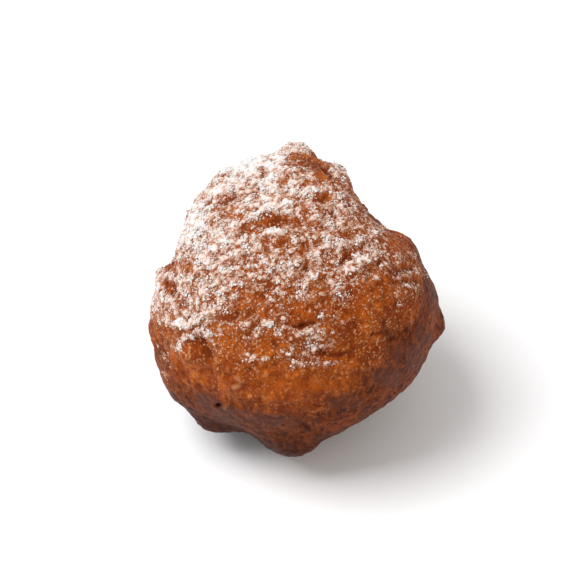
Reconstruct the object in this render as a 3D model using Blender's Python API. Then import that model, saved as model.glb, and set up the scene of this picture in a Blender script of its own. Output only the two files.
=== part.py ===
"""An oliebol: a ball of yeasted dough, spooned into hot oil and fried in one piece.

The ball starts as an evenly divided cube that is blown up into a sphere. Each
swelling, hollow and drip of the dough then moves the skin out or in along the
line from the ball's heart, and the bottom is pressed level, to the small flat spot
that the ball rests on. The result is one closed solid, about 80 mm across.

Units are metres and degrees. +Z is up and the best side faces -Y.
"""

import bmesh
import bpy
import numpy as np

NAME = "oliebol"
MM = 0.001

# The ball before its lumps: half its width, depth and height.
HALF_WIDTH = 38.3 * MM
HALF_DEPTH = 38.3 * MM
HALF_HEIGHT = 38.0 * MM
# The flat spot's depth below the heart of the ball, and how softly the skin rolls onto it.
FLAT_SPOT_DEPTH = 36.0 * MM
FLAT_SPOT_ROLL = 1.2 * MM
# Quads along each edge of the cube that becomes the sphere.
DIVISIONS = 28
# How steep the lumps' sides are: 2 is a bell curve, and more has a broader top.
FOLD_POWER = 2.0
KNOB_POWER = 3.0

# Lumps are placed as on a dial, for someone who looks down at the best side from
# this many degrees above the horizon. "turn" runs anticlockwise from the dial's
# right-hand side, and "lean" comes forward from the dial towards the viewer.
VIEW_HEIGHT = 45.0

# Swellings and hollows that run from one place to another:
# name: ((turn, lean) at one end, (turn, lean) at the other, rise in mm, spread in degrees)
FOLDS = {
    # The ball's broad form.
    "crown": ((114, 12), (88, 20), 2.8, 16),
    "upper_left_corner": ((121, -2), (121, 12), 0.8, 5),
    "left_waist": ((154, 14), (158, -26), -3.0, 10),
    "left_flank": ((194, 10), (184, 18), 1.8, 12),
    "lower_left_lobe": ((217, 4), (223, -6), 3.5, 11),
    "under_notch": ((247, 8), (249, -24), -1.3, 6),
    "front_lobe": ((266, -6), (270, 10), 3.6, 8),
    "lower_right_flat": ((303, 0), (300, -30), -2.0, 13),
    "upper_right_flat": ((19, -8), (19, 10), -1.8, 9),
    "right_shoulder": ((28, 6), (25, 14), 1.3, 4.5),
    "right_hollow": ((45, 18), (47, -40), -6.8, 13),
    "nub_hollow": ((61, 10), (61, -14), -1.9, 5),
    # Soft bulges and troughs of the best side.
    "left_ledge": ((188, 32), (188, 60), 0.9, 5),
    "left_dome": ((206, 42), (206, 44), 1.1, 5),
    "middle_bulge": ((300, 86), (320, 89), 0.9, 6),
    "right_belly": ((354, 62), (2, 48), 1.1, 8),
    "right_crease": ((344, 47), (321, 63), -0.9, 4),
    "front_trough": ((301, 68), (315, 60), -0.7, 4),
    "front_lip": ((238, 50), (296, 53), 0.8, 7),
    "knob_foot": ((84, 22), (98, 22), -0.8, 4.5),
    # The far side and the underside.
    "back_swelling": ((140, -48), (200, -52), 2.4, 14),
    "back_hollow": ((20, -58), (80, -66), -1.8, 12),
    "back_seam": ((110, -34), (150, -66), -1.4, 5),
    "under_swelling": ((250, -52), (290, -48), 1.6, 9),
    "under_hollow": ((330, -44), (350, -26), -1.4, 9),
    "right_fold": ((8, -30), (350, -58), 1.5, 6),
}

# Knobs and drips, where the dough let go of the spoon:
# name: ((turn, lean), rise in mm, spread in degrees)
KNOBS = {
    "crown_knob": ((90, 2), 3.8, 5.8),
    "knob_gap": ((79.5, -6), -3.4, 4.6),
    "rear_nub": ((72, -19), 4.9, 5.8),
    "left_wart": ((170, 3), 1.5, 4.5),
    "wart_notch": ((176, 2), -1.7, 4.0),
    "lower_left_toe": ((238, -4), 2.1, 7.0),
    "right_wart": ((350.5, 2), 2.7, 4.8),
    "back_drip": ((126, -40), 2.6, 6.0),
    "back_wart": ((30, -50), 1.8, 6.5),
}


def dial_axes():
    """The dial's right, its up, and the way to the viewer, as unit vectors."""
    height = np.radians(VIEW_HEIGHT)
    right = np.array([1.0, 0.0, 0.0])
    up = np.array([0.0, np.sin(height), np.cos(height)])
    forward = np.array([0.0, -np.cos(height), np.sin(height)])
    return right, up, forward


def dial_direction(turn, lean):
    """The unit vector from the heart of the ball to a place on the dial."""
    right, up, forward = dial_axes()
    turn, lean = np.radians(turn), np.radians(lean)
    rim = np.cos(turn) * right + np.sin(turn) * up
    return np.cos(lean) * rim + np.sin(lean) * forward


def unit(vectors):
    return vectors / np.linalg.norm(vectors, axis=-1, keepdims=True)


def swelling(directions, start, end, spread, power):
    """1 along the arc from start to end, falling off to nothing round it."""
    first = dial_direction(*start)
    along = dial_direction(*end) - first
    length = max(along @ along, 1e-12)
    share = np.clip((directions - first) @ along / length, 0.0, 1.0)
    nearest = unit(first + share[:, None] * along)
    cosine = np.clip((directions * nearest).sum(axis=1), -1.0, 1.0)
    away = np.degrees(np.arccos(cosine))
    return np.exp(-0.5 * (away / spread) ** power)


def skin_distance(directions):
    """How far the skin lies from the heart of the ball in each direction."""
    halves = np.array([HALF_WIDTH, HALF_DEPTH, HALF_HEIGHT])
    distance = 1.0 / np.linalg.norm(directions / halves, axis=1)
    for start, end, rise, spread in FOLDS.values():
        distance += rise * MM * swelling(directions, start, end, spread, FOLD_POWER)
    for place, rise, spread in KNOBS.values():
        distance += rise * MM * swelling(directions, place, place, spread, KNOB_POWER)
    return distance


def even_directions(cube_points):
    """Points on a cube from -1 to 1, spread evenly over the sphere."""
    return unit(np.tan(cube_points * np.pi / 4))


def pressed_flat(points):
    """The points with the ball's bottom pressed level, as by its own weight, at height 0."""
    above = points[:, 2] + FLAT_SPOT_DEPTH
    rolling = np.maximum(above + FLAT_SPOT_ROLL, 0.0) ** 2 / (4 * FLAT_SPOT_ROLL)
    height = np.where(above < FLAT_SPOT_ROLL, rolling, above)
    return np.column_stack([points[:, :2], height])


def dough_mesh():
    """The whole ball, made from a divided cube, with the origin under its middle."""
    ball = bmesh.new()
    bmesh.ops.create_cube(ball, size=2.0)
    bmesh.ops.subdivide_edges(
        ball, edges=ball.edges[:], cuts=DIVISIONS - 1, use_grid_fill=True
    )
    mesh = bpy.data.meshes.new(NAME)
    ball.to_mesh(mesh)
    ball.free()

    corners = np.empty(len(mesh.vertices) * 3, np.float32)
    mesh.vertices.foreach_get("co", corners)
    directions = even_directions(corners.reshape(-1, 3).astype(float))
    points = pressed_flat(directions * skin_distance(directions)[:, None])
    middle = (points.min(axis=0) + points.max(axis=0)) / 2
    points -= [middle[0], middle[1], 0.0]
    mesh.vertices.foreach_set("co", points.astype(np.float32).ravel())
    return mesh


def fried_crust():
    """Golden brown crust with a slight gloss of frying oil."""
    crust = bpy.data.materials.new("fried_crust")
    crust.use_nodes = True
    shader = crust.node_tree.nodes["Principled BSDF"]
    shader.inputs["Base Color"].default_value = (0.33, 0.085, 0.022, 1.0)
    shader.inputs["Roughness"].default_value = 0.5
    shader.inputs["Metallic"].default_value = 0.0
    return crust


def main():
    for old in list(bpy.data.objects):
        bpy.data.objects.remove(old)
    bakery = bpy.data.collections.new("oliebol_parts")
    bpy.context.scene.collection.children.link(bakery)

    mesh = dough_mesh()
    mesh.shade_smooth()
    mesh.set_sharp_from_angle(angle=np.radians(50))
    mesh.materials.append(fried_crust())
    bakery.objects.link(bpy.data.objects.new(NAME, mesh))


main()
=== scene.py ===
# %% [markdown]
# # An oliebol, dusted with powdered sugar
#
# An oliebol is a ball of yeasted dough, spooned into hot oil and fried until its crust
# is a lumpy orange brown. Powdered sugar is sifted over it while it is still warm.
# The frame gives the ball's plain, closed skin. This lesson wrinkles that skin, browns
# it, and then lets the sugar fall on it in drifts, clumps, grains and dust.

# %% The fixed frame
import itertools

import bmesh
import bpy
import numpy as np
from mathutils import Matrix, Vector


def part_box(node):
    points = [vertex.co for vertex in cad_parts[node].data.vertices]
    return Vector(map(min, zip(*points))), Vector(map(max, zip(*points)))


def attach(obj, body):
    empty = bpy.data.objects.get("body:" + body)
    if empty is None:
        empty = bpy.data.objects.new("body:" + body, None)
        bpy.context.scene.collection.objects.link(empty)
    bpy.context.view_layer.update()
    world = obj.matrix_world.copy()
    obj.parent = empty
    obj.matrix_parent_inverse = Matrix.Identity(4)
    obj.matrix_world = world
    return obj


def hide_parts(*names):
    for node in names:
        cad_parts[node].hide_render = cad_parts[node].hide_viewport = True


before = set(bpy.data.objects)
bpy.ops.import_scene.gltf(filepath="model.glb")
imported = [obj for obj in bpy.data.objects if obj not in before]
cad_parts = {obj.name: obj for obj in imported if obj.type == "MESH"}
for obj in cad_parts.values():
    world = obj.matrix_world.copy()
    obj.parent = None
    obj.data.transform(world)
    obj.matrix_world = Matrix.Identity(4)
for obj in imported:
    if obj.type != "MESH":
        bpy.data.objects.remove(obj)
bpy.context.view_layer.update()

MM = 0.001

ball_low, ball_high = (np.array(corner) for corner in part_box("oliebol"))
print("the plain ball measures", np.round((ball_high - ball_low) / MM, 1), "mm")

# %% [markdown]
# ## Which way is which
#
# Everything is in metres, with +Z up, and the best side faces -Y. The ball's heart is
# the point that the dough swells away from. It lies a little off the middle of the
# ball's box, because knobs stick out further on one side than on the other. The best
# side is looked at from 45 degrees above the table, so three more directions help to
# place a fold: right, up and toward, as that viewer has them.

# %% The heart and the viewer's directions
HEART_OFFSET = np.array([-0.54, 0.38, -1.58]) * MM
HEART = (ball_low + ball_high) / 2 + HEART_OFFSET

VIEW_HEIGHT = np.radians(45.0)
RIGHT = np.array([1.0, 0.0, 0.0])
UP = np.array([0.0, np.sin(VIEW_HEIGHT), np.cos(VIEW_HEIGHT)])
TOWARD = np.array([0.0, -np.cos(VIEW_HEIGHT), np.sin(VIEW_HEIGHT)])
print("the heart is", np.round(HEART / MM, 1), "mm from the origin")


def unit(vectors):
    """The same directions with length 1."""
    return vectors / np.linalg.norm(vectors, axis=-1, keepdims=True)


def dial(turn, lean):
    """The direction `turn` degrees round the viewer's dial that leans `lean` toward them.

    (cos turn, sin turn) along right and up, times cos lean, and sin lean along toward.
    """
    turn, lean = np.radians([turn, lean])
    flat = np.cos(turn) * RIGHT + np.sin(turn) * UP
    return np.cos(lean) * flat + np.sin(lean) * TOWARD


def smooth_step(values, start, end):
    """0 at start and 1 at end, with the soft curve 3t^2 - 2t^3 between them."""
    share = np.clip((values - start) / (end - start), 0.0, 1.0)
    return share * share * (3.0 - 2.0 * share)


# %% [markdown]
# ## The camera
#
# A long lens far away keeps the ball's outline honest. The view is 156.6 mm wide at the
# heart, and the aim is a little up and left of the heart, so the ball sits a little
# right of the middle of the picture and below it.

# %% The camera
SENSOR_WIDTH = 36.0
CAMERA_DISTANCE = 620.0 * MM
VIEW_WIDTH = 156.6 * MM
AIM_RIGHT = -1.62
AIM_UP = 3.24

camera_lens = bpy.data.cameras.new("camera")
camera_lens.sensor_width = SENSOR_WIDTH
camera_lens.lens = SENSOR_WIDTH * CAMERA_DISTANCE / VIEW_WIDTH
camera_lens.clip_start = 0.01
camera = bpy.data.objects.new("camera", camera_lens)
bpy.context.scene.collection.objects.link(camera)
aim = HEART + (AIM_RIGHT * RIGHT + AIM_UP * UP) * MM
camera.location = aim + TOWARD * CAMERA_DISTANCE
camera.rotation_euler = (np.pi / 2 - VIEW_HEIGHT, 0.0, 0.0)
bpy.context.scene.camera = camera
print("the lens is", round(camera_lens.lens, 1), "mm long")


# %% [markdown]
# ## The table
#
# The table is a plain pale disc, far wider than the view, and it isn't part of the food.
# Its paint is matt and throws light back up at the crust.

# %% Helpers for a piece and its material
def make_piece(name, points, faces):
    """An object with its place in its mesh, from whole arrays of corners and faces."""
    mesh = bpy.data.meshes.new(name)
    mesh.from_pydata(points.tolist(), [], faces.tolist())
    mesh.shade_smooth()
    piece = bpy.data.objects.new(name, mesh)
    bpy.context.scene.collection.objects.link(piece)
    return piece


def new_material(name):
    """A node material, with its tree and its shader."""
    material = bpy.data.materials.new(name)
    material.use_nodes = True
    tree = material.node_tree
    return material, tree, tree.nodes["Principled BSDF"]


def set_sockets(node, values):
    """Sets sockets of a node, by their names, to plain numbers and colours."""
    for name, value in values.items():
        node.inputs[name].default_value = value


# %% The table
TABLE_RADIUS = 4.0
TABLE_CORNERS = 96

# One level face at height 0, with its corners at (radius cos a, radius sin a).
angles = np.linspace(0.0, 2 * np.pi, TABLE_CORNERS, endpoint=False)
rim = np.column_stack([np.cos(angles), np.sin(angles), np.zeros(TABLE_CORNERS)]) * TABLE_RADIUS
table = make_piece("table", rim, np.arange(TABLE_CORNERS)[None])
table_paint, tree, shader = new_material("table_paint")
set_sockets(
    shader,
    {"Base Color": (0.94, 0.94, 0.94, 1.0), "Roughness": 0.9, "Specular IOR Level": 0.2},
)
table.data.materials.append(table_paint)
print("the table is", 2 * TABLE_RADIUS, "m across")


# %% [markdown]
# ## The light
#
# Light comes from a big soft panel above and to the left, and from a pale room all
# round. A big panel gives shadows with soft edges, as a window does. A weaker and warmer
# panel low on the right lifts the shaded flank. The plain colour transform keeps sugar
# white and crust saturated.

# %% The light
ROOM_TINT = (0.95, 0.97, 1.0, 1.0)
ROOM_STRENGTH = 0.59


def soft_panel(name, direction, distance, size, watts, tint):
    """A square light panel that faces the heart from the given direction."""
    light = bpy.data.lights.new(name, "AREA")
    light.size = size
    light.energy = watts
    light.color = tint
    panel = bpy.data.objects.new(name, light)
    place = HEART + unit(np.array(direction)) * distance
    panel.location = place
    panel.rotation_euler = Vector(HEART - place).to_track_quat("-Z", "Y").to_euler()
    bpy.context.scene.collection.objects.link(panel)
    print(name, "gives", watts, "watts from", distance, "m away")


soft_panel(
    "window_light", direction=(-0.52, -0.05, 0.85), distance=1.3, size=0.8, watts=16.8,
    tint=(0.99, 0.99, 1.0),
)
soft_panel(
    "warm_fill", direction=(0.90, -0.15, 0.42), distance=1.3, size=0.9, watts=3.7,
    tint=(1.0, 0.75, 0.52),
)

room = bpy.data.worlds.new("pale_room")
room.use_nodes = True
set_sockets(
    room.node_tree.nodes["Background"], {"Color": ROOM_TINT, "Strength": ROOM_STRENGTH}
)
bpy.context.scene.world = room
bpy.context.scene.view_settings.view_transform = "Standard"


# %% [markdown]
# ## An even grid all round the ball
#
# A globe's grid crowds at its poles, and a crust would look combed there. A cube whose
# sides are ruled into squares, blown up into a ball, has no poles and nearly even
# squares. The squares are ruled with equal angles: the tangent of each ruled step.

# %% Directions all round, and the quads that join them
def ball_grid(edge):
    """Directions on the blown-up cube and its quads, with edge x edge quads on a side.

    Each side's corners are whole numbers from 0 to edge in a cube. Corners that two
    sides share are merged by their numbers, so the ball has no seams.
    """
    steps = np.arange(edge + 1)
    first, second = np.meshgrid(steps, steps, indexing="ij")
    sides = []
    for axis, end in itertools.product(range(3), (0, edge)):
        side = np.empty((edge + 1, edge + 1, 3), int)
        side[..., axis] = end
        side[..., (axis + 1) % 3] = first
        side[..., (axis + 2) % 3] = second
        sides.append(side if end else side.transpose(1, 0, 2))
    corners = np.stack(sides)
    labels = corners @ [1, edge + 1, (edge + 1) ** 2]
    _, where, numbers = np.unique(labels, return_index=True, return_inverse=True)
    cube = corners.reshape(-1, 3)[where] * 2.0 / edge - 1.0
    numbers = numbers.reshape(6, edge + 1, edge + 1)
    quads = np.stack(
        [numbers[:, :-1, :-1], numbers[:, 1:, :-1], numbers[:, 1:, 1:], numbers[:, :-1, 1:]],
        axis=-1,
    )
    return unit(np.tan(cube * np.pi / 4)), quads.reshape(-1, 4)


CRUST_EDGE = 127
crust_directions, crust_quads = ball_grid(CRUST_EDGE)
print("the crust's grid has", len(crust_quads), "quads")

# %% [markdown]
# ## Feeling for the frame's skin
#
# The frame's ball is a closed mesh of plain triangles. A merged and subdivided copy of
# it rounds off their edges. To learn how far the skin lies from the heart in many
# directions at once, loose points are set well outside the ball, and a Shrinkwrap
# modifier slides each one inwards along its own direction until it meets the copy.

# %% A smooth copy of the frame's ball
def smooth_copy(node):
    """The node's mesh, merged and subdivided once, in an object that won't be kept."""
    mesh = node.data.copy()
    body = bmesh.new()
    body.from_mesh(mesh)
    bmesh.ops.remove_doubles(body, verts=body.verts[:], dist=0.001 * MM)
    body.to_mesh(mesh)
    body.free()
    guide = bpy.data.objects.new("skin_guide", mesh)
    bpy.context.scene.collection.objects.link(guide)
    rounding = guide.modifiers.new("rounding", "SUBSURF")
    rounding.levels = rounding.render_levels = 1
    return guide


skin_guide = smooth_copy(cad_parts["oliebol"])
print("the guide has", len(skin_guide.data.vertices), "corners before it is subdivided")

# %% The distance from the heart to the skin
FEELER_REACH = 60.0 * MM


def skin_distance(directions):
    """How far the skin lies from the heart in each direction."""
    mesh = bpy.data.meshes.new("feelers")
    mesh.vertices.add(len(directions))
    mesh.vertices.foreach_set("co", (directions * FEELER_REACH).astype(np.float32).ravel())
    feelers = bpy.data.objects.new("feelers", mesh)
    feelers.location = HEART
    bpy.context.scene.collection.objects.link(feelers)
    press = feelers.modifiers.new("press", "SHRINKWRAP")
    press.target = skin_guide
    press.wrap_method = "PROJECT"
    press.use_positive_direction = False
    press.use_negative_direction = True
    pressed = feelers.evaluated_get(bpy.context.evaluated_depsgraph_get()).data
    places = np.empty(len(directions) * 3, np.float32)
    pressed.vertices.foreach_get("co", places)
    bpy.data.objects.remove(feelers)
    return np.linalg.norm(places.reshape(-1, 3).astype(float), axis=1)


crust_distance = skin_distance(crust_directions)
skin_range = np.round([crust_distance.min() / MM, crust_distance.max() / MM], 1)
print("the skin lies", skin_range, "mm from the heart")

# %% [markdown]
# ## Solid noise
#
# Dough wrinkles at random, and yet smoothly. Solid noise gives each point in space a
# smooth random number: a lattice of cells holds a random slope at every corner, and
# inside a cell the eight slopes are blended. Because it fills space, it has no seams
# on a ball. Folded noise takes its distance from 0 and so makes sharp crests. Pebbled
# noise is another kind: kernels are strewn through space, one in each cell, and what
# counts is how near the nearest one is. It makes round bumps that crowd each other.

# %% A lattice of cells with a random slope for each
SLOPES = unit(np.random.default_rng(4).normal(size=(4096, 3)))
LATTICE_PRIMES = np.array([73856093, 19349663, 83492791])
SEED_PRIME = 7919
SEED_SHIFT = 17.31


def in_cells(points, size, seed):
    """Each point's place in the lattice, shifted by the seed, and its cell's numbers."""
    places = points / size + seed * SEED_SHIFT
    return places, np.floor(places).astype(np.int64)


def slope_at(cells, seed):
    """A random direction for each cell, picked by a hash of its three numbers."""
    hashed = np.bitwise_xor.reduce(cells * LATTICE_PRIMES, axis=1)
    return SLOPES[(hashed + seed * SEED_PRIME) % len(SLOPES)]


# %% Noise for whole arrays of points
def solid_noise(points, size, seed):
    """Smooth random numbers, mostly between -0.6 and 0.6, that change over `size`.

    Each of a cell's eight corners gives the dot product of its random slope and the way
    from it to the point, and 6t^5 - 15t^4 + 10t^3 of the place in the cell blends them.
    """
    places, low = in_cells(points, size, seed)
    inside = places - low
    fade = inside**3 * (inside * (inside * 6.0 - 15.0) + 10.0)
    total = np.zeros(len(points))
    for corner in itertools.product((0, 1), repeat=3):
        corner = np.array(corner)
        weight = np.where(corner, fade, 1.0 - fade).prod(axis=1)
        total += weight * ((inside - corner) * slope_at(low + corner, seed)).sum(axis=1)
    return total


def folded_noise(points, size, seed):
    """Crests of height 1 along thin lines, with rounded valleys down to about -1."""
    return 1.0 - 4.0 * np.abs(solid_noise(points, size, seed))


def pebbled_noise(points, size, seed):
    """Round bumps about `size` across: 1 at their middles, down to about -1 between them.

    1 minus 2.2 times the distance to the nearest kernel, which is measured in cells. A
    kernel lies 0.45 of a cell from its cell's middle, so the 27 cells around are enough.
    """
    places, low = in_cells(points, size, seed)
    nearest = np.full(len(points), np.inf)
    for step in itertools.product((-1, 0, 1), repeat=3):
        kernels = low + step + 0.5 + 0.45 * slope_at(low + step, seed)
        nearest = np.minimum(nearest, ((places - kernels) ** 2).sum(axis=1))
    return 1.0 - 2.2 * np.sqrt(nearest)


# %% [markdown]
# ## Folds that are listed
#
# Chance doesn't put the big folds where they belong, so those of the best side are
# listed. Each has two ends, given in millimetres to the right of the heart and above
# it, as the viewer sees them, then its rise and its spread in millimetres. A ridge has a
# positive rise and a trough a negative one. A fold keeps its shape from every side,
# because its spread is measured along the skin, and not in the viewer's picture.

# %% From the viewer's picture to the ball
MEAN_RADIUS = 39.0


def seen(points):
    """Millimetres right of and above the heart at which the viewer sees each point.

    Near points spread out: their offset grows by distance / (distance - nearness).
    """
    offset = points - HEART
    spread = CAMERA_DISTANCE / (CAMERA_DISTANCE - offset @ TOWARD)
    return np.column_stack([offset @ RIGHT, offset @ UP]) * spread[:, None] / MM


skin_points = HEART + crust_directions * crust_distance[:, None]
faces_viewer = crust_directions @ TOWARD > 0.0
viewer_directions = crust_directions[faces_viewer]
viewer_places = seen(skin_points[faces_viewer])
print("the viewer sees the ball", round(np.ptp(viewer_places[:, 0]), 1), "mm wide")


def best_side(x, y):
    """The direction from the heart to the skin that is seen at (x, y)."""
    misses = np.linalg.norm(viewer_places - [x, y], axis=1)
    return viewer_directions[misses.argmin()]


def fold(directions, start, end, spread):
    """1 on the arc from start to end, and exp(-(distance / spread)^2) beside it."""
    along = end - start
    share = np.clip((directions - start) @ along / max(along @ along, 1e-9), 0.0, 1.0)
    nearest = unit(start + share[:, None] * along)
    away = np.linalg.norm(directions - nearest, axis=1) * MEAN_RADIUS
    return np.exp(-((away / spread) ** 2))


# %% The ridges and troughs of the best side
RIDGES = (
    (-22.4, 28.1, -17.3, 31.6, 0.5, 1.0),
    (-13.8, 21.6, -9.2, 24.0, 0.7, 1.1),
    (-9.2, 24.0, -1.6, 26.2, 0.6, 1.1),
    (-9.2, 17.8, -2.4, 20.2, 0.6, 1.0),
    (-4.1, 8.9, 1.9, 11.3, 0.7, 1.1),
    (-34.0, -5.7, -27.3, -6.5, 0.8, 1.1),
    (-27.3, -5.7, -21.6, -2.2, 0.7, 1.1),
    (-15.9, -7.3, -12.7, -5.7, 0.5, 0.9),
    (-9.2, -6.8, -5.1, -4.6, 0.6, 1.2),
    (0.0, -8.6, 8.1, -6.8, 0.6, 1.2),
    (8.1, -7.0, 4.9, -13.0, 0.4, 1.2),
    (6.5, -16.5, 13.5, -15.4, 0.7, 0.9),
    (-0.8, -16.2, 2.2, -17.3, 0.5, 1.0),
    (13.2, 8.1, 16.7, 9.7, 0.35, 1.1),
    (16.7, 10.5, 22.1, 13.2, 0.3, 1.1),
    (4.1, 27.5, 5.4, 30.0, 0.5, 0.9),
    (5.4, 30.0, 8.9, 30.0, 0.5, 0.9),
    (10.8, 18.9, 13.0, 19.4, 0.6, 1.1),
    (11.1, 15.9, 13.2, 16.5, 0.6, 1.1),
    (15.1, 17.3, 17.6, 16.7, 0.4, 1.0),
    (-29.2, -9.7, -25.4, -8.4, 0.7, 1.3),
    (-31.9, -13.0, -28.6, -9.7, 0.5, 0.9),
    (-15.1, -14.9, -12.4, -15.9, 0.4, 0.8),
    (-12.4, -15.9, -9.2, -13.5, 0.4, 0.8),
    (-8.9, -15.9, -7.0, -14.6, 0.4, 0.8),
    (-4.3, -14.6, -1.1, -13.2, 0.4, 0.8),
    (-27.0, 0.5, -24.6, 2.7, 0.5, 1.2),
    (1.1, 4.6, 6.5, 7.0, 0.5, 1.2),
    (4.6, 11.9, 9.2, 15.4, 0.5, 1.3),
    (0.2, -2.8, 2.2, -1.4, 0.35, 3.2),
    (-29.2, -14.0, -27.6, -14.2, 2.0, 2.7),
    (27.0, 11.6, 31.9, 12.4, 0.3, 0.9),
    (26.5, 6.5, 33.2, 7.3, 0.2, 0.8),
    (22.7, 3.8, 22.1, -1.6, 0.4, 0.7),
)
TROUGHS = (
    (-20.2, 26.7, -16.9, 29.0, -0.7, 1.0),
    (-8.9, 21.1, -2.8, 22.6, -0.5, 1.0),
    (-15.1, 18.6, -10.3, 20.0, -0.5, 0.9),
    (-5.7, 15.4, -2.2, 17.0, -0.7, 1.0),
    (-17.0, 1.4, -9.2, 4.1, -0.2, 2.2),
    (-19.2, -2.4, -14.3, -3.8, -0.2, 1.8),
    (5.9, -13.5, 14.6, -15.1, -0.7, 1.1),
    (-1.6, -6.5, 1.6, -6.8, -0.5, 0.8),
    (1.6, -6.8, 4.6, -5.4, -0.7, 0.8),
    (4.6, -5.4, 6.2, -2.4, -0.6, 0.8),
    (6.2, 28.2, 7.2, 27.7, -0.55, 1.3),
    (10.3, 25.9, 10.8, 19.4, -0.4, 0.6),
    (-9.2, 35.6, -8.4, 34.6, -0.6, 0.9),
    (-4.1, 32.7, -3.5, 31.3, -0.6, 1.0),
    (-14.6, 34.3, -14.0, 34.0, -0.5, 0.7),
    (1.9, 16.7, 2.7, 13.5, -0.7, 1.2),
    (12.7, 10.8, 15.1, 13.0, -0.4, 1.0),
    (21.3, 8.6, 22.7, 10.8, -0.8, 0.8),
    (27.5, 8.1, 32.1, 9.2, -0.6, 0.8),
    (25.1, 5.1, 33.5, 5.4, -0.5, 0.7),
    (-35.1, 5.1, -33.2, 3.0, -1.0, 1.2),
    (-25.6, -9.6, -23.6, -14.0, -1.2, 1.3),
    (7.0, 36.9, 9.2, 33.8, -1.3, 1.1),
    (9.2, 33.8, 10.8, 31.5, -1.0, 0.9),
    (-1.1, 37.3, 2.7, 36.7, -0.7, 0.9),
)
# Small marks have a colour of their own: 1 for a pit, crease or crack, which is sunken
# too and darkened with painted shade, and -1 for a pale blister, which is raised: x0, y0,
# x1, y1, mark, spread.
MARKS = (
    (-20.7, -27.3, -21.6, -28.3, 1.7, 0.55),
    (-19.3, -28.6, -18.2, -27.2, -0.35, 0.5),
    (-3.8, -33.2, -3.8, -33.2, 0.8, 0.6),
    (1.6, -33.2, 1.6, -33.2, 0.8, 0.55),
    (-4.3, -27.8, -1.1, -27.5, 0.35, 0.5),
    (-1.1, -27.5, 1.1, -28.1, 0.30, 0.5),
    (4.3, -27.5, 6.4, -28.1, 0.40, 0.5),
    (6.4, -28.1, 8.4, -27.7, 0.35, 0.5),
    (-0.8, -6.5, 3.8, -4.9, 0.25, 0.6),
    (3.8, -4.9, 5.7, -0.3, 0.25, 0.6),
    (-12.4, -15.7, -5.7, -18.9, 0.3, 0.5),
    (20.5, -8.6, 24.6, -7.6, 0.40, 0.9),
    (15.1, -13.0, 20.5, -8.4, 0.25, 0.6),
    (24.3, 4.1, 23.8, -2.4, 0.25, 0.5),
    (21.1, 4.1, 20.3, -1.6, 0.25, 0.5),
    (-15.9, -20.0, -14.9, -20.8, -0.6, 0.8),
    (-16.7, -22.6, -15.4, -22.2, -0.6, 0.8),
    (-16.2, -24.2, -15.7, -24.6, -0.3, 0.7),
    (-34.8, -19.2, -34.8, -19.2, -0.8, 0.9),
    (-18.0, -24.6, -16.2, -25.7, -0.3, 0.7),
)
# Where the outline pulls in or swells: the turn and lean on the dial of both ends of an
# arc across the outline, then its rise and spread.
OUTLINE = (
    (2.0, 0.0, 2.0, 0.0, 0.4, 4.0),
    (17.0, 4.0, 17.0, -4.0, -0.5, 4.0),
    (39.0, 8.0, 39.0, -8.0, -1.0, 2.5),
    (50.0, 14.0, 50.0, -10.0, -1.3, 5.0),
    (60.0, 18.0, 60.0, -2.0, -0.9, 2.5),
    (73.0, -18.0, 73.0, -18.0, -0.7, 2.5),
    (79.2, 13.0, 79.2, -5.0, -2.3, 1.8),
    (79.2, -8.0, 81.5, -13.0, -1.7, 2.2),
    (81.0, -15.0, 78.0, -20.0, -1.4, 2.8),
    (88.0, 3.0, 94.0, 3.0, -0.4, 2.2),
    (118.0, 6.0, 118.0, 6.0, -0.9, 11.0),
    (127.0, 9.0, 127.0, 0.0, -0.9, 3.0),
    (147.0, 4.0, 157.0, 8.0, -0.7, 3.5),
    (161.0, 14.0, 161.5, -4.0, -1.5, 2.4),
    (172.8, 10.0, 172.8, -3.0, -2.2, 1.8),
    (178.0, 10.0, 183.0, 4.0, -0.9, 2.5),
    (196.5, 6.0, 196.5, -6.0, -0.6, 2.5),
    (217.5, 0.0, 217.5, 0.0, 0.5, 2.0),
    (235.0, 0.0, 235.0, 0.0, 0.8, 4.5),
    (281.5, 16.0, 281.5, -2.0, -0.9, 2.8),
    (292.0, 4.0, 292.0, -4.0, -0.4, 6.0),
    (327.0, 0.0, 327.0, 0.0, 0.3, 4.0),
)


# %% What the listed shapes add up to
MARK_DEPTH = 0.9


def seen_arcs(directions, arcs):
    """The sum of rise * fold over arcs whose ends are given as the viewer sees them."""
    total = np.zeros(len(directions))
    for x0, y0, x1, y1, rise, spread in arcs:
        total += rise * fold(directions, best_side(x0, y0), best_side(x1, y1), spread)
    return total


def laid_folds(directions):
    """The rise in millimetres that all listed shapes of the crust give together."""
    total = seen_arcs(directions, RIDGES + TROUGHS)
    total -= MARK_DEPTH * seen_arcs(directions, MARKS)
    for turn0, lean0, turn1, lean1, rise, spread in OUTLINE:
        total += rise * fold(directions, dial(turn0, lean0), dial(turn1, lean1), spread)
    return total


print(len(RIDGES), "ridges,", len(TROUGHS), "troughs and", len(MARKS), "marks are laid by hand")


# %% [markdown]
# ## How the crust wrinkles
#
# The top of the ball dries in the air while the bottom fries, and then it is turned. The
# upper crust ends up puffed and rumpled, with folds that run up to the right, and the
# lower crust is tighter, with small blisters. `browned` says how far down a place is on
# that scale: 0 on the rumpled top and 1 on the tight, dark bottom. Steep flanks stretch
# as the dough swells, so their blisters and their colours are drawn out downwards: a
# pattern gets longer where its coordinates are made smaller.

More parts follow.
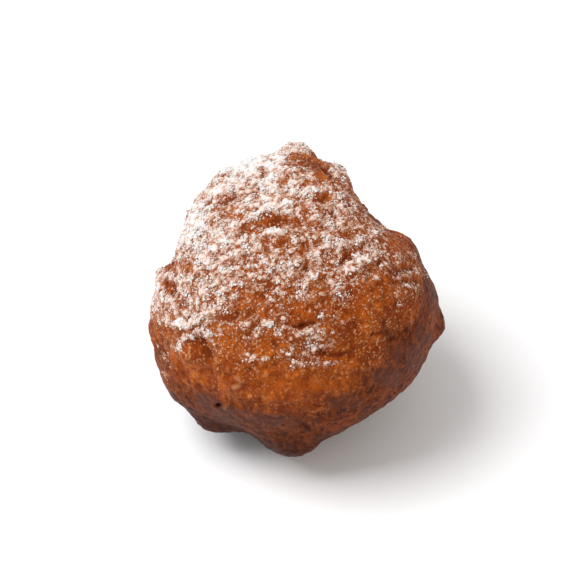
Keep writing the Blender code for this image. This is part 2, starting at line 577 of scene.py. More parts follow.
# %% Where the ball is browned most
def browned(directions):
    """0 above the golden line round the ball and 1 below it.

    The line lies near the height of the heart and climbs to the right as a parabola, and
    noise makes it waver.
    """
    x = directions[:, 0] * MEAN_RADIUS
    z = directions[:, 2] * MEAN_RADIUS
    line = -1.6 + 0.35 * x + 0.008 * x * x
    waver = 7.0 * solid_noise(directions * MEAN_RADIUS, 11.0, 61)
    waver += 5.0 * solid_noise(directions * MEAN_RADIUS, 4.5, 62)
    return smooth_step(line + waver - z, -12.0, 11.0)


crust_browned = browned(crust_directions)
print("the browned part is", round(100 * (crust_browned > 0.5).mean()), "% of the crust")

# %% The relief of the crust
FOLD_SLANT = np.radians(24.0)
FOLD_ALONG = np.cos(FOLD_SLANT) * RIGHT + np.sin(FOLD_SLANT) * UP
FOLD_ACROSS = np.cos(FOLD_SLANT) * UP - np.sin(FOLD_SLANT) * RIGHT
FOLD_STRETCH = 2.1
DOWN_THE_FLANK = (1.0, 0.8, 0.65)


def relief(directions, distance):
    """The rise of the crust over the plain skin, and its wrinkles alone, in millimetres.

    The rise is the sum of soft lumps and wrinkles. The wrinkles are slanting folds and
    puffed pebbles with creases between them, most of all on the upper crust, fine
    blisters that are drawn out down the flank, and the listed shapes.
    """
    points = directions * distance[:, None] / MM
    low_part = browned(directions)
    top_part = 1.0 - low_part
    drawn = np.column_stack(
        [points @ FOLD_ALONG / FOLD_STRETCH, points @ FOLD_ACROSS, points @ TOWARD]
    )
    drawn[:, 1] += 1.6 * solid_noise(points, 7.0, 5)
    lumps = 0.75 * solid_noise(points, 12.0, 1) + 0.42 * solid_noise(points, 6.0, 2)
    folds = 0.32 * folded_noise(drawn, 5.2, 3) + 0.20 * folded_noise(drawn + 40.0, 3.0, 4)
    puffs = 0.36 * pebbled_noise(points, 2.6, 6) + 0.20 * pebbled_noise(points, 1.4, 7)
    flank = points * DOWN_THE_FLANK
    blisters = 0.17 * pebbled_noise(flank, 2.2, 9) + 0.20 * solid_noise(flank, 1.4, 10)
    blisters += 0.06 * folded_noise(flank, 1.5, 11)
    wrinkles = folds * top_part + puffs * (0.22 + 0.78 * top_part)
    wrinkles += blisters * (0.3 + 0.7 * low_part)
    wrinkles += laid_folds(directions)
    return lumps * (0.45 + 0.55 * top_part) + wrinkles, wrinkles


# %% From directions to points of the crust
PRESSED_HEIGHT = 4.0 * MM


def crust_surface(directions):
    """Points of the wrinkled crust, with the wrinkles' height there in millimetres.

    The relief fades out towards the flat spot, where the ball is pressed level.
    """
    distance = skin_distance(directions)
    height = HEART[2] + directions[:, 2] * distance
    off_table = smooth_step(height, 0.0, PRESSED_HEIGHT)
    rise, wrinkles = relief(directions, distance)
    points = HEART + directions * (distance + rise * off_table * MM)[:, None]
    points[:, 2] = np.maximum(points[:, 2], 0.0)
    return points, wrinkles


crust_points, crust_wrinkles = crust_surface(crust_directions)
print("the wrinkles rise and fall", np.round(crust_wrinkles.std(), 2), "mm about the skin")


# %% The crust's mesh
def corner_normals(mesh):
    """The mesh's own outward direction at each corner."""
    normals = np.empty(len(mesh.vertices) * 3, np.float32)
    mesh.vertex_normals.foreach_get("vector", normals)
    return normals.reshape(-1, 3).astype(float)


crust = make_piece("crust", crust_points, crust_quads)
crust_normals = corner_normals(crust.data)
print("the crust's mesh has", len(crust.data.vertices), "corners")


# %% [markdown]
# ## Where sugar falls
#
# Sugar is sifted from above, from behind and from the left, so it thins out towards the
# front and the right. Within that broad law it stays where a wrinkle faces the sifter
# and on the crests, and it leaves creases bare. A few places of the best side are barer
# or thicker than the law gives. `dusting` is the result: about 0 where hardly any sugar
# lands and 1 or more where it covers everything.

# %% The places that differ from the broad law
# x, y, width and height in millimetres as the viewer sees them, then the change of share.
THICKER_PLACES = (
    (-28.6, 20.8, 6.0, 8.0, 0.16),
    (-31.3, -1.6, 9.0, 5.0, 0.18),
    (-17.8, 36.2, 6.0, 3.0, 0.12),
    (14.6, 12.4, 9.0, 6.5, 0.20),
    (5.9, -11.6, 6.0, 6.0, 0.14),
    (32.1, 7.3, 4.0, 5.0, 0.10),
    (-1.6, 8.1, 6.0, 3.5, 0.04),
    (-20.2, 30.0, 3.5, 1.2, 0.30),
    (-5.5, 19.3, 4.0, 0.9, 0.30),
    (7.0, 30.5, 2.5, 1.0, 0.35),
    (11.5, 25.5, 2.5, 3.5, 0.25),
    (17.0, 24.5, 3.0, 4.0, 0.12),
    (11.5, 14.5, 2.5, 3.0, 0.15),
    (17.6, 11.3, 5.0, 2.0, 0.08),
    (16.0, 15.0, 8.0, 10.0, 0.08),
    (31.0, 3.0, 5.0, 8.0, 0.08),
    (-35.0, -14.0, 2.8, 8.0, 0.20),
    (31.5, -15.5, 2.0, 3.5, 0.12),
    (-17.3, 11.3, 5.0, 6.0, 0.11),
    (-20.5, -0.5, 4.0, 4.5, 0.15),
    (1.1, 3.2, 3.0, 2.5, 0.10),
    (-36.7, 3.2, 2.5, 2.5, 0.12),
    (22.7, 14.0, 2.5, 2.5, 0.16),
    (11.5, 36.5, 2.5, 2.5, 0.35),
    (-15.1, -2.2, 2.5, 2.5, 0.04),
    (-9.7, 3.2, 2.5, 2.5, 0.03),
    (-7.0, 14.0, 4.0, 2.5, 0.06),
    (9.2, 3.2, 3.0, 2.5, 0.06),
    (-31.3, 8.6, 2.5, 2.5, 0.12),
    (28.0, -2.0, 3.0, 3.0, 0.06),
    (33.5, 3.2, 2.5, 2.5, 0.06),
    (17.3, 8.6, 2.5, 2.5, 0.08),
    (6.5, 8.6, 2.5, 2.5, 0.10),
    (11.9, 24.8, 2.5, 2.5, 0.08),
    (6.5, -4.5, 3.0, 3.0, 0.12),
    (27.5, 5.0, 4.0, 6.0, 0.06),
    (5.0, -12.0, 4.5, 3.5, 0.20),
    (-4.0, 28.0, 6.0, 5.0, 0.10),
    (2.5, -13.0, 3.5, 2.0, 0.15),
    (-22.3, -11.5, 2.2, 4.5, 0.30),
    (-31.4, -12.6, 1.0, 2.6, 0.30),
    (-29.5, -9.9, 2.4, 0.8, 0.35),
    (-6.8, -5.7, 3.0, 1.4, 0.30),
    (5.5, -8.2, 4.2, 1.3, 0.24),
    (-12.2, -14.6, 3.2, 1.1, 0.26),
    (-8.4, -15.7, 1.4, 1.4, 0.30),
    (-2.7, -13.8, 2.4, 1.2, 0.30),
    (0.5, -16.9, 2.4, 1.1, 0.40),
    (8.9, -16.3, 3.8, 0.8, 0.60),
    (-11.0, 37.5, 8.0, 3.5, 0.30),
    (0.5, 42.0, 5.0, 1.8, 0.22),
    (31.0, 8.0, 5.0, 5.0, 0.15),
    (4.0, -2.0, 16.0, 12.0, 0.07),
    (12.2, 1.9, 1.6, 1.6, 0.30),
    (-29.4, -6.2, 4.6, 1.2, 0.30),
    (-25.7, -8.6, 3.0, 1.2, 0.45),
)
BARER_PLACES = (
    (-28.5, 3.5, 3.0, 3.0, -0.06),
    (-31.5, 13.5, 3.0, 3.0, -0.12),
    (33.5, -6.5, 4.5, 5.0, -0.25),
    (-9.7, -2.2, 2.5, 2.5, -0.12),
    (-9.7, -13.0, 2.5, 2.5, -0.16),
    (-15.5, -0.5, 5.0, 3.0, -0.06),
    (-31.8, -1.0, 3.0, 2.5, -0.10),
    (-30.5, -7.5, 3.0, 1.6, -0.20),
    (0.8, 29.0, 2.6, 4.0, -0.10),
    (-36.5, -8.0, 3.5, 3.0, -0.30),
    (-22.5, 23.5, 1.6, 3.0, -0.22),
    (-16.5, 23.5, 3.0, 2.0, -0.18),
    (-4.5, -2.0, 2.5, 2.0, -0.12),
    (12.5, -2.5, 2.5, 2.5, -0.10),
    (37.4, -6.0, 3.0, 3.0, -0.50),
    (11.0, 34.5, 3.0, 3.0, -0.10),
    (-5.6, 22.0, 4.0, 1.5, -0.75),
    (-12.2, 19.2, 3.2, 1.1, -0.38),
    (-18.6, 26.7, 2.4, 1.6, -0.30),
    (-4.1, 15.9, 1.9, 1.4, -0.40),
    (1.9, 15.4, 1.6, 1.6, -0.40),
    (12.7, 13.0, 1.6, 1.4, -0.40),
    (-9.2, 35.1, 1.1, 1.4, -0.45),
    (-4.1, 32.1, 1.1, 1.6, -0.45),
    (-14.3, 34.3, 0.9, 0.7, -0.50),
    (-18.4, 26.2, 4.0, 3.0, -0.12),
    (-25.9, -14.3, 9.0, 5.0, -0.20),
    (-13.2, 2.4, 4.3, 2.4, -0.14),
    (-16.7, -2.2, 3.5, 2.4, -0.10),
    (-7.6, -11.1, 2.4, 2.4, -0.35),
    (-27.3, -13.5, 4.3, 2.7, -0.50),
    (21.3, 0.5, 3.8, 5.9, -0.20),
    (4.6, 38.2, 1.2, 2.0, -0.70),
    (6.3, 35.6, 1.3, 2.0, -0.80),
    (0.9, 38.8, 3.4, 1.8, -0.50),
    (8.8, 34.0, 1.2, 2.4, -0.30),
    (-25.9, 24.8, 2.5, 2.5, -0.05),
    (-1.6, 24.0, 9.0, 6.0, -0.04),
    (6.7, 31.0, 2.5, 2.5, -0.06),
    (0.0, 36.0, 2.4, 1.4, -0.12),
    (7.0, 28.1, 1.6, 1.1, -0.60),
    (1.3, -2.7, 3.4, 2.7, -0.32),
    (27.5, 16.2, 3.4, 2.6, -0.22),
    (-29.7, -1.0, 4.0, 3.0, -0.08),
    (9.7, -14.3, 4.3, 1.2, -0.50),
    (-15.1, 9.2, 2.4, 1.9, -0.10),
    (-34.0, 9.5, 1.9, 1.4, -0.60),
    (-29.4, 9.5, 1.6, 1.6, -0.60),
    (-34.3, 4.1, 1.6, 1.6, -0.70),
    (15.1, 23.5, 4.9, 2.2, -0.06),
)


def patches(directions, points, places):
    """The sum of change * exp(-(x / width)^2 - (y / height)^2) over the listed places.

    It fades out at the rim of the best side, so nothing shows through on the far side.
    """
    viewed = seen(points)
    total = np.zeros(len(points))
    for x, y, width, height, change in places:
        offset = (viewed - [x, y]) / [width, height]
        total += change * np.exp(-(offset**2).sum(axis=1))
    return total * smooth_step(directions @ TOWARD, -0.1, 0.15)


print(len(THICKER_PLACES), "places get more sugar and", len(BARER_PLACES), "get less")

# %% The broad law
SIFTING = unit(np.array([-0.50, 0.34, 0.80]))


def sugar_share(directions, points):
    """The share of the crust under sugar: a soft step along the sifting, and patches.

    It ends where the crust becomes too steep, with a ragged edge, a little above the
    height of the heart and somewhat lower on the left.
    """
    share = 1.07 * smooth_step(directions @ SIFTING, -0.39, 1.74) - 0.05
    height = directions[:, 2] - 0.15 * np.minimum(directions[:, 0], 0.0)
    height += 0.20 * solid_noise(directions * MEAN_RADIUS, 9.0, 27)
    height += 0.16 * solid_noise(directions * MEAN_RADIUS, 3.2, 28)
    share *= smooth_step(height, -0.02, 0.30)
    changes = patches(directions, points, THICKER_PLACES + BARER_PLACES)
    return np.clip(share + changes, 0.0, 1.0)


crust_share = sugar_share(crust_directions, crust_points)
print("the mean share of sugar is", round(crust_share.mean(), 2))


# %% Which wrinkles catch it
def dusting(directions, points, normals, wrinkles):
    """The share of sugar, more on crests that face the sifter, and in random clusters."""
    share = sugar_share(directions, points)
    facing = (normals - directions) @ SIFTING
    local = (points - HEART) / MM
    clusters = 0.16 * solid_noise(local, 4.2, 21) + 0.36 * solid_noise(local, 1.9, 22)
    caught = share + 0.32 * facing + 0.18 * wrinkles + clusters
    return np.clip(caught * smooth_step(share, 0.0, 0.16), 0.0, 1.3)


crust_dusting = dusting(crust_directions, crust_points, crust_normals, crust_wrinkles)
print("sugar reaches", round(100 * (crust_dusting > 0.05).mean()), "% of the crust")


# %% [markdown]
# ## The fried crust's finish
#
# Fried dough browns unevenly: golden orange where the oil only just reached, and below
# a mottled dark brown with paler flecks and plum patches, which carry painted sheen too.
# Creases are darkened red brown with painted shade, and the underside and the dark
# marks with more painted shade. Pale crumbs, partly painted glints, and tiny pits
# darkened with painted shade cover the upper crust, and a painted mauve sheen lies on
# the plum patches. All of it is mixed from noise on Object coordinates and from numbers
# stored at the corners. The blotches are drawn out down the flanks, as the blisters
# are. A veil of the finest sugar, too small to model, is mixed in last as pale specks.

# %% Where the lower crust has its big plum patches, which carry painted sheen
# x, y, width and height as above, then how plum it is, which also sets its painted sheen.
PLUM_AND_SHEEN_PLACES = (
    (-24.0, -26.5, 4.0, 2.6, 1.0),
    (-18.0, -30.0, 5.0, 2.2, 1.0),
    (-3.5, -32.5, 6.0, 2.6, 1.1),
    (-12.0, -31.0, 4.0, 2.2, 0.5),
    (-35.8, -13.0, 2.0, 7.5, 0.5),
    (21.3, -19.7, 5.5, 3.0, 0.7),
    (27.0, -12.5, 3.5, 3.0, 0.6),
    (12.5, -27.0, 4.0, 2.4, 0.5),
    (32.0, -15.5, 2.4, 4.5, 1.0),
    (26.5, -20.5, 3.0, 2.2, 0.9),
    (34.5, -8.5, 2.0, 2.5, 0.5),
    (29.0, -1.5, 4.0, 3.2, -1.0),
    (22.7, -7.6, 2.5, 2.0, 0.4),
    (13.0, -18.5, 3.5, 2.0, 0.35),
    (37.4, -6.0, 2.6, 2.8, -1.4),
    (5.4, 37.0, 1.6, 3.0, 0.8),
    (-33.0, -21.0, 3.0, 2.5, -0.8),
)
plum_and_sheen_patches = patches(crust_directions, crust_points, PLUM_AND_SHEEN_PLACES)
print("plum patches cover", round(100 * (plum_and_sheen_patches > 0.3).mean()), "% of the crust")


# %% The numbers stored at the crust's corners
def keep_values(mesh, name, values):
    """Stores one number for each corner, for a material to read."""
    stored = mesh.attributes.new(name, "FLOAT", "POINT")
    stored.data.foreach_set("value", values.astype(np.float32))


# Crumbs, partly painted glints, and pits darkened with painted shade show where the
# crust is glazed, and the underside gets painted shade, darkest of all.
crust_up = crust_directions[:, 2]
upper_half = crust_up + 0.22 * np.abs(crust_directions[:, 0])
for name, values in {
    "dusting": crust_dusting,
    "glazed": smooth_step(upper_half, 0.2, 0.48),
    "underside": smooth_step(-crust_up, 0.22, 0.60),
    "marks": seen_arcs(crust_directions, MARKS),
    "browned": crust_browned,
    "wrinkles": crust_wrinkles,
    "plum_and_sheen": plum_and_sheen_patches,
}.items():
    keep_values(crust.data, name, values)
    print(name, "runs from", round(values.min(), 2), "to", round(values.max(), 2))


# %% Patterns for a node tree
def stored_value(tree, name):
    """The number that the mesh stores at its corners under this name."""
    node = tree.nodes.new("ShaderNodeAttribute")
    node.attribute_name = name
    return node.outputs["Fac"]


def noise_node(tree, size, detail=3.0, roughness=0.55, draw=(1.0, 1.0, 1.0)):
    """Noise on Object coordinates whose largest blotches are about `size` millimetres.

    A draw below 1 makes the blotches longer along that axis.
    """
    coordinates = tree.nodes.new("ShaderNodeTexCoord")
    mapping = tree.nodes.new("ShaderNodeMapping")
    mapping.inputs["Scale"].default_value = draw
    node = tree.nodes.new("ShaderNodeTexNoise")
    set_sockets(node, {"Scale": 1.0 / (size * MM), "Detail": detail, "Roughness": roughness})
    tree.links.new(coordinates.outputs["Object"], mapping.inputs["Vector"])
    tree.links.new(mapping.outputs["Vector"], node.inputs["Vector"])
    return node.outputs["Fac"]


def crumb_node(tree, size):
    """The distance to the nearest crumb's middle, for crumbs about `size` millimetres apart."""
    coordinates = tree.nodes.new("ShaderNodeTexCoord")
    node = tree.nodes.new("ShaderNodeTexVoronoi")
    node.inputs["Scale"].default_value = 1.0 / (size * MM)
    tree.links.new(coordinates.outputs["Object"], node.inputs["Vector"])
    return node.outputs["Distance"]


# %% Sums and coats of colour for a node tree
def fill(tree, sockets, values):
    """Links each socket to its value, or sets it where the value is a number or colour."""
    for socket, value in zip(sockets, values):
        if isinstance(value, bpy.types.NodeSocket):
            tree.links.new(value, socket)
        elif isinstance(value, tuple):
            socket.default_value = (*value, 1.0)
        else:
            socket.default_value = value


def calculate(tree, operation, *values):
    """A Math node for any operation."""
    node = tree.nodes.new("ShaderNodeMath")
    node.operation = operation
    fill(tree, node.inputs, values)
    return node.outputs[0]


def times(tree, value, factor, plus=0.0):
    """A Math node for value * factor + plus."""
    return calculate(tree, "MULTIPLY_ADD", value, factor, plus)


def rescale(tree, value, from_low, from_high, to_low=0.0, to_high=1.0):
    """A soft-stepped Map Range node."""
    node = tree.nodes.new("ShaderNodeMapRange")
    node.interpolation_type = "SMOOTHSTEP"
    fill(tree, node.inputs, (value, from_low, from_high, to_low, to_high))
    return node.outputs["Result"]


def mix_colours(tree, share, first, second):
    """A Mix node for colours: first where the share is 0, second where it is 1."""
    node = tree.nodes.new("ShaderNodeMix")
    node.data_type = "RGBA"
    fill(tree, (node.inputs["Factor"], *node.inputs[6:8]), (share, first, second))
    return node.outputs[2]


def paint_over(tree, colour, *coats):
    """A colour with coats over it, one by one, each where its own pattern is strong.

    A coat is a pattern, the values at which it starts and is full, its share where it
    is full, and its colour.
    """
    for pattern, start, full, share, coat in coats:
        colour = mix_colours(tree, rescale(tree, pattern, start, full, 0.0, share), colour, coat)
    return colour


def add_bump(tree, shader, height, distance):
    """Lets a height tilt the shader's normal, as if it rose `distance` millimetres."""
    bump = tree.nodes.new("ShaderNodeBump")
    set_sockets(bump, {"Strength": 1.0, "Distance": distance * MM})
    tree.links.new(height, bump.inputs["Height"])
    tree.links.new(bump.outputs["Normal"], shader.inputs["Normal"])


# %% The crust's colours
GOLDEN = (0.43, 0.093, 0.009)
# Bright gold is light flecks of the crust, and partly painted glints.
BRIGHT_GOLD_AND_GLINT = (0.58, 0.21, 0.05)
ORANGE_BROWN = (0.24, 0.041, 0.005)
# Crease brown is dark random flecks, and also painted shade in creases and pits.
CREASE_BROWN_AND_SHADE = (0.14, 0.023, 0.005)
# The crumb colours are pale crumbs, and partly painted glints on the raised crumbs.
GOLD_CRUMB_AND_GLINT = (0.50, 0.19, 0.06)
PALE_CRUMB_AND_GLINT = (0.72, 0.38, 0.22)
DARK_BROWN = (0.140, 0.025, 0.003)
# Deepest brown is dark mottle, and also painted shade on the underside.
DEEPEST_BROWN_AND_SHADE = (0.030, 0.005, 0.0012)
# Plum brown is a plum tint with painted sheen in it.
PLUM_BROWN_AND_SHEEN = (0.082, 0.024, 0.014)
PALE_FLECK = (0.26, 0.064, 0.016)
# Scorched is painted shade in sunken pits, creases and cracks.
SUNKEN_MARK_SHADE = (0.030, 0.005, 0.002)
PALE_BLISTER = (0.52, 0.23, 0.10)
# Mauve is a painted sheen, a reflection laid over the plum patches.
MAUVE_SHEEN = (0.118, 0.044, 0.033)

# %% The patterns on the crust
fried_crust, tree, shader = new_material("fried_crust")
glazed = stored_value(tree, "glazed")
plum_and_sheen_place = stored_value(tree, "plum_and_sheen")
blotches = noise_node(tree, 5.0, draw=DOWN_THE_FLANK)
mottle = noise_node(tree, 2.6, 6.0, 0.7, DOWN_THE_FLANK)
flecks = noise_node(tree, 1.2, 5.0, 0.7, DOWN_THE_FLANK)
plum_and_sheen = noise_node(tree, 6.5, draw=DOWN_THE_FLANK)
plum_and_sheen = times(tree, plum_and_sheen_place, 0.16, plus=plum_and_sheen)
grain = noise_node(tree, 0.95, 2.0, 0.6)
clusters = noise_node(tree, 3.0, 2.0)
veins = calculate(tree, "SUBTRACT", noise_node(tree, 3.2, 4.0), 0.5)
off_vein = calculate(tree, "ABSOLUTE", veins)
print("the patterns take", len(tree.nodes), "nodes")

# %% The golden crust above
top_colour = paint_over(
    tree, GOLDEN,
    (blotches, 0.35, 0.65, 1.0, ORANGE_BROWN),
    (mottle, 0.46, 0.66, 0.65, ORANGE_BROWN),
    # Partly painted glints: light flecks in bright gold.
    (flecks, 0.54, 0.68, 0.85, BRIGHT_GOLD_AND_GLINT),
    (flecks, 0.47, 0.33, 0.5, CREASE_BROWN_AND_SHADE),
    # Painted shade: low wrinkles, the creases, are darkened with crease brown.
    (stored_value(tree, "wrinkles"), 0.1, -0.7, 0.85, CREASE_BROWN_AND_SHADE),
)
# Painted shade: where the grain, which also raises the bump, is low, the crust is darkened as
# tiny pits.
pit_shade = times(tree, glazed, rescale(tree, grain, 0.48, 0.38, 0.0, 0.42))
top_colour = mix_colours(tree, pit_shade, top_colour, CREASE_BROWN_AND_SHADE)
print("with the golden crust:", len(tree.nodes), "nodes")

# %% The browned crust below
low_colour = paint_over(
    tree, DARK_BROWN,
    (mottle, 0.41, 0.62, 0.9, DEEPEST_BROWN_AND_SHADE),
    (blotches, 0.50, 0.66, 0.5, ORANGE_BROWN),
    (blotches, 0.46, 0.34, 0.5, DEEPEST_BROWN_AND_SHADE),
    # Plum tint with painted sheen in it.
    (plum_and_sheen, 0.52, 0.64, 0.8, PLUM_BROWN_AND_SHEEN),
    (flecks, 0.46, 0.68, 0.9, PALE_FLECK),
)
unevenness = calculate(tree, "SUBTRACT", calculate(tree, "ADD", blotches, mottle), 1.0)
uneven = times(tree, unevenness, 0.8, plus=stored_value(tree, "browned"))
uneven = times(tree, plum_and_sheen_place, 0.35, plus=uneven)
crust_colour = paint_over(tree, top_colour, (uneven, 0.05, 0.95, 1.0, low_colour))
# Painted shade: the underside is darkened towards the deepest brown, as if little light reached
# it.
underside = times(tree, stored_value(tree, "underside"), 0.75)
crust_colour = mix_colours(tree, underside, crust_colour, DEEPEST_BROWN_AND_SHADE)
crust_colour = paint_over(tree, crust_colour, (off_vein, 0.022, 0.002, 0.45, DEEPEST_BROWN_AND_SHADE))
print("with the browned crust:", len(tree.nodes), "nodes")

# %% The pale crumbs of the upper crust, partly painted glints
# The crumbs are raised by the bump as well; their pale colour is partly painted glints.
crumb_and_glint = times(tree, grain, 0.5)
crumb_and_glint = calculate(tree, "SUBTRACT", crumb_and_glint, crumb_node(tree, 0.95))
crumb_and_glint = times(tree, clusters, 0.6, plus=crumb_and_glint)
crumb_and_glint = rescale(tree, crumb_and_glint, 0.19, 0.30)
crumb_and_glint = times(tree, crumb_and_glint, rescale(tree, uneven, 0.85, 0.35))
crumb_and_glint = times(tree, crumb_and_glint, times(tree, glazed, 0.75, plus=0.25))
crumb_and_glint_colour = paint_over(tree, GOLD_CRUMB_AND_GLINT, (flecks, 0.42, 0.58, 1.0, PALE_CRUMB_AND_GLINT))
crumb_and_glint_share = times(tree, crumb_and_glint, 0.65)
crust_colour = mix_colours(tree, crumb_and_glint_share, crust_colour, crumb_and_glint_colour)
print("with the crumbs:", len(tree.nodes), "nodes")

# %% The painted mauve sheen, and the marks, the dark ones painted shade
# Painted shade: positive marks darken the sunken pits, creases and cracks.
marks = stored_value(tree, "marks")
crust_colour = paint_over(
    tree, crust_colour,
    # Painted sheen: a mauve film over the plum patches.
    (plum_and_sheen_place, 0.1, 1.1, 0.45, MAUVE_SHEEN),
    (marks, 0.1, 0.9, 1.0, SUNKEN_MARK_SHADE),
    (marks, -0.1, -0.9, 1.0, PALE_BLISTER),
)
print("with the marks:", len(tree.nodes), "nodes")

# %% The sugar veil
THIN_SUGAR = (0.43, 0.20, 0.115)
JOINED_SUGAR = (0.73, 0.59, 0.515)
FULL_SUGAR = (0.75, 0.735, 0.735)

veil = stored_value(tree, "dusting")
dusted = rescale(tree, veil, 0.02, 0.12)
film = times(tree, veil, 0.5, plus=clusters)
film = times(tree, rescale(tree, film, 0.55, 1.1, 0.0, 0.3), dusted)
crust_colour = mix_colours(tree, film, crust_colour, THIN_SUGAR)
speck_level = times(tree, veil, 0.31, plus=grain)
speck_share = times(tree, rescale(tree, speck_level, 0.63, 0.73), dusted)
speck_colour = paint_over(tree, THIN_SUGAR, (speck_level, 0.66, 0.95, 1.0, JOINED_SUGAR))
crust_colour = mix_colours(tree, speck_share, crust_colour, speck_colour)
tree.links.new(crust_colour, shader.inputs["Base Color"])
print("with the veil:", len(tree.nodes), "nodes")

# %% The gloss of the crust
oily = times(tree, mottle, 0.25, plus=0.40)
drier = calculate(tree, "SUBTRACT", 0.95, oily)
roughness = times(tree, speck_share, drier, plus=oily)
tree.links.new(roughness, shader.inputs["Roughness"])
set_sockets(
    shader,
    {
        "Specular IOR Level": 0.03,
        "Sheen Weight": 0.045,
        "Sheen Roughness": 0.45,
        "Sheen Tint": (1.0, 0.88, 0.82, 1.0),
        "Subsurface Weight": 0.05,
        "Subsurface Radius": (1.0, 0.35, 0.12),
        "Subsurface Scale": 0.8 * MM,
    },
)

# %% The fine grit of the crust, and its place in the part
fine_grit = noise_node(tree, 1.6, 3.0, 0.6)
grit_share = rescale(tree, glazed, 0.0, 1.0, 0.6, 1.3)
grit = times(tree, grain, grit_share, plus=fine_grit)
grit = times(tree, speck_share, 0.25, plus=grit)
grit = times(tree, crumb_and_glint, 0.6, plus=grit)
add_bump(tree, shader, grit, 0.45)
crust.data.materials.append(fried_crust)
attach(crust, "root")
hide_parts("oliebol")
print("the crust's finish takes", len(tree.nodes), "nodes")


# %% [markdown]
# ## Powdered sugar
#
# Sugar is a matt white powder. Light goes a little way into it and out again, which
# softens its shadows, so its shader scatters light under the surface. Where it lies
# thin, the brown crust tints it, so each piece of sugar stores its own `thickness`. The
# same finish serves the drifts, the clumps, the grains and the dust.

# %% The sugar's finish
powdered_sugar, tree, shader = new_material("powdered_sugar")
cakes = calculate(tree, "SUBTRACT", noise_node(tree, 0.9, 3.0, 0.6), 0.5)
piled = times(tree, cakes, 1.2, plus=stored_value(tree, "thickness"))
sugar_colour = paint_over(
    tree, THIN_SUGAR,
    (piled, 0.0, 0.75, 1.0, JOINED_SUGAR),
    (piled, 0.65, 1.35, 1.0, FULL_SUGAR),
)
tree.links.new(sugar_colour, shader.inputs["Base Color"])
set_sockets(
    shader,
    {
        "Roughness": 0.95,
        "Specular IOR Level": 0.15,
        "Subsurface Weight": 0.3,
        "Subsurface Radius": (1.0, 0.8, 0.7),
        "Subsurface Scale": 0.5 * MM,
    },
)
add_bump(tree, shader, noise_node(tree, 0.7, 3.0, 0.7), 0.12)
print("the sugar's finish takes", len(tree.nodes), "nodes")


def sugar_piece(piece, thickness):
    """Gives a piece of sugar its finish and thickness, and its place in the part."""
    keep_values(piece.data, "thickness", thickness)
    piece.data.materials.append(powdered_sugar)
    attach(piece, "root")


# %% [markdown]
# ## Drifts
#
# Where much sugar lands it joins into a crumbly layer with holes in it. The drifts are
# grown on a finer grid of the same crust: a place gets sugar where its dusting and some
# noise together pass a limit, and the layer thickens from nothing at its edge. It stays
# thin on steep crust, where powder slides off. Quads without sugar are dropped, and a
# Solidify modifier gives what is left an underside that is buried in the crust, so each
# drift is a closed body.

# %% A finer grid of the sugared side
DRIFT_EDGE = 190


def renumber(quads):
    """The corners that the quads use, and the quads with those corners' new numbers."""
    used, numbers = np.unique(quads, return_inverse=True)
    return used, numbers.reshape(-1, 4)


fine_directions, fine_quads = ball_grid(DRIFT_EDGE)
sugared_side = fine_directions @ SIFTING > -0.1
used, upper_quads = renumber(fine_quads[sugared_side[fine_quads].all(axis=1)])
upper_directions = fine_directions[used]
upper_points, upper_wrinkles = crust_surface(upper_directions)
bed = make_piece("sugar_bed", upper_points, upper_quads)
upper_normals = corner_normals(bed.data)
bpy.data.objects.remove(bed)
print("the sugared side has", len(upper_quads), "finer quads")

# %% How high the sugar is heaped
THICKEST = 0.45


def drift_field(points, amount):
    """How far the sugar at each point passes the limit for a joined layer."""
    local = (points - HEART) / MM
    crumbs = 0.52 * pebbled_noise(local, 2.0, 23) + 0.52 * pebbled_noise(local, 1.2, 24)
    crumbs += 0.35 * solid_noise(local, 1.5, 26)
    return 1.2 * amount + 0.4 * smooth_step(amount, 0.75, 1.15) + crumbs - 0.60


upper_dusting = dusting(upper_directions, upper_points, upper_normals, upper_wrinkles)
rests = 0.35 + 0.65 * smooth_step(upper_normals[:, 2], 0.05, 0.6)
passed = drift_field(upper_points, upper_dusting)
heaped = np.clip(passed * 0.5, 0.0, THICKEST) * rests
crumbly = pebbled_noise((upper_points - HEART) / MM, 0.9, 25)
heaped += 0.09 * crumbly * smooth_step(heaped, 0.02, 0.2)
upper_thickness = 0.12 + np.clip(passed, 0.0, 1.0) + 0.35 * crumbly
upper_thickness += 0.5 * smooth_step(upper_dusting, 0.6, 1.1)
print("the drifts are up to", round(heaped.max(), 2), "mm thick")

# %% The drifts
EDGE_DEPTH = 0.02
UNDERSIDE_DEPTH = 0.25

used, drift_quads = renumber(upper_quads[(heaped[upper_quads] > 0.0).any(axis=1)])
lift = (heaped[used] - EDGE_DEPTH)[:, None] * MM
drifts = make_piece("sugar_drifts", upper_points[used] + upper_normals[used] * lift, drift_quads)
lining = drifts.modifiers.new("underside", "SOLIDIFY")
lining.thickness = UNDERSIDE_DEPTH * MM
lining.offset = -1.0
sugar_piece(drifts, upper_thickness[used])
print("the drifts have", len(drift_quads), "quads on their upper side")


# %% [markdown]
# ## Clumps, grains and dust
#
# Between the drifts lie clumps, grains and finer dust. A clump is a handful of grains
# that stuck together, so it is made as one: its grains are scattered round one place. A
# grain is a small round of 20 triangles and a speck of dust has 8, pushed out of shape,
# turned and half sunk in the crust. Thousands are computed at once and joined in one
# mesh, a piece for each kind.

# %% Small rounds
def octahedron():
    """Six corners on the axes and the eight triangles between them, facing outwards."""
    corners = np.vstack([np.eye(3), -np.eye(3)])
    triangles = []
    for signs in itertools.product((1, -1), repeat=3):
        triangle = [axis if sign > 0 else axis + 3 for axis, sign in enumerate(signs)]
        triangles.append(triangle if np.prod(signs) > 0 else triangle[::-1])
    return corners, np.array(triangles)


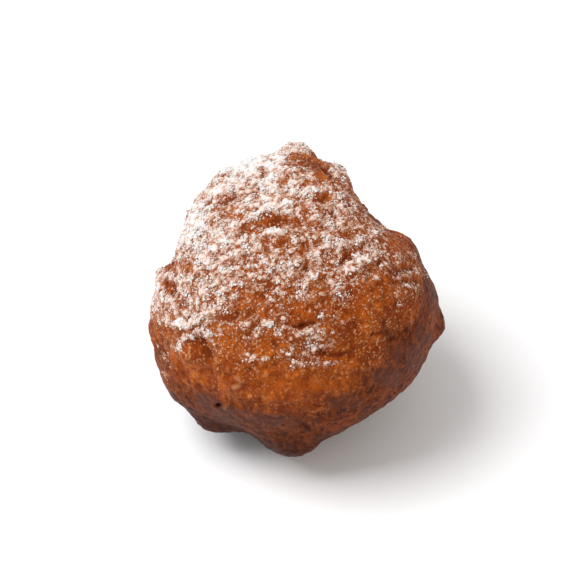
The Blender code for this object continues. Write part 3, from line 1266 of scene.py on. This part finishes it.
def icosahedron():
    """The ball of 20 triangles: an ico sphere that isn't divided any further."""
    body = bmesh.new()
    bmesh.ops.create_icosphere(body, subdivisions=1, radius=1.0)
    corners = np.array([corner.co[:] for corner in body.verts])
    triangles = np.array([[corner.index for corner in face.verts] for face in body.faces])
    body.free()
    return corners, triangles


def random_turns(count, rng):
    """Rotations that turn a vector any way: the QR split, without its mirror images."""
    turns = np.linalg.qr(rng.normal(size=(count, 3, 3)))[0]
    return turns * np.linalg.det(turns)[:, None, None]


# %% Scattering
OUT_OF_SHAPE = 0.25
FLATTENED = 0.40
SIDEWAYS = 0.25


def scatter(name, chances, sizes, solid, seed, handful=1, reach=0.0):
    """Joins rounds at random corners of the crust, more where the chances are high.

    A round's corners are its solid's, pushed in or out at random, turned any way,
    flattened along the crust's own normal and moved to a place near a crust corner.
    Each place gets a handful of rounds, spread over `reach` millimetres. Where more
    sugar lies around it, a round is bigger and counts as thicker sugar.
    """
    rng = np.random.default_rng(seed)
    count = len(sizes)
    places = rng.choice(len(chances), size=count // handful + 1, p=chances / chances.sum())
    places = np.repeat(places, handful)[:count]
    normals = crust_normals[places]
    around = crust_dusting[places]
    sizes = sizes * (0.7 + 0.3 * smooth_step(around, 0.15, 0.6))

    offset = rng.uniform(-SIDEWAYS, SIDEWAYS, size=(count, 3))
    offset = offset + rng.normal(0.0, reach, size=(count, 3))
    outwards = (offset * normals).sum(axis=1, keepdims=True)
    lifted = np.abs(outwards) * 0.4 + 0.06 * sizes[:, None]
    offset -= outwards * normals
    centres = crust_points[places] + (offset + lifted * normals) * MM

    corners, triangles = solid
    pushed = rng.uniform(1 - OUT_OF_SHAPE, 1 + OUT_OF_SHAPE, size=(count, len(corners), 1))
    shape = (corners * pushed) @ random_turns(count, rng)
    height = (shape * normals[:, None]).sum(axis=2, keepdims=True)
    shape -= FLATTENED * height * normals[:, None]
    points = centres[:, None] + shape * (sizes * MM / 2)[:, None, None]
    first = np.arange(count)[:, None, None] * len(corners)
    piece = make_piece(name, points.reshape(-1, 3), (triangles[None] + first).reshape(-1, 3))

    thickness = 0.34 + 0.6 * around + 0.4 * smooth_step(around, 0.7, 1.2) + 0.9 * (sizes - 0.4)
    thickness += rng.normal(0.0, 0.12, count)
    sugar_piece(piece, np.repeat(thickness, len(corners)))
    print(name, "has", count, "rounds and", count * len(triangles), "triangles")


# %% The clumps, the grains and the dust
CLUMP_ROUNDS = 4200
GRAINS = 4800
DUST_SPECKS = 8500

crust_field = drift_field(crust_points, crust_dusting)
beside = smooth_step(crust_field, -0.7, -0.15) * (1.1 - smooth_step(crust_field, 0.0, 0.4))
draws = np.random.default_rng(12)
scatter(
    "sugar_clumps", crust_dusting**1.5 * smooth_step(crust_field, -0.45, 0.1),
    draws.uniform(0.4, 0.85, CLUMP_ROUNDS), icosahedron(), 31, handful=5, reach=0.35,
)
scatter(
    "sugar_grains", crust_dusting * beside,
    draws.uniform(0.3, 0.6, GRAINS), icosahedron(), 32,
)
scatter(
    "sugar_dust", (0.9 * crust_dusting + 0.35 * crust_share) * (0.15 + beside),
    draws.uniform(0.22, 0.4, DUST_SPECKS), octahedron(), 33,
)

# %% [markdown]
# ## Finish
#
# The guide was only for measuring, so it goes.

# %% The guide goes
bpy.data.objects.remove(skin_guide)
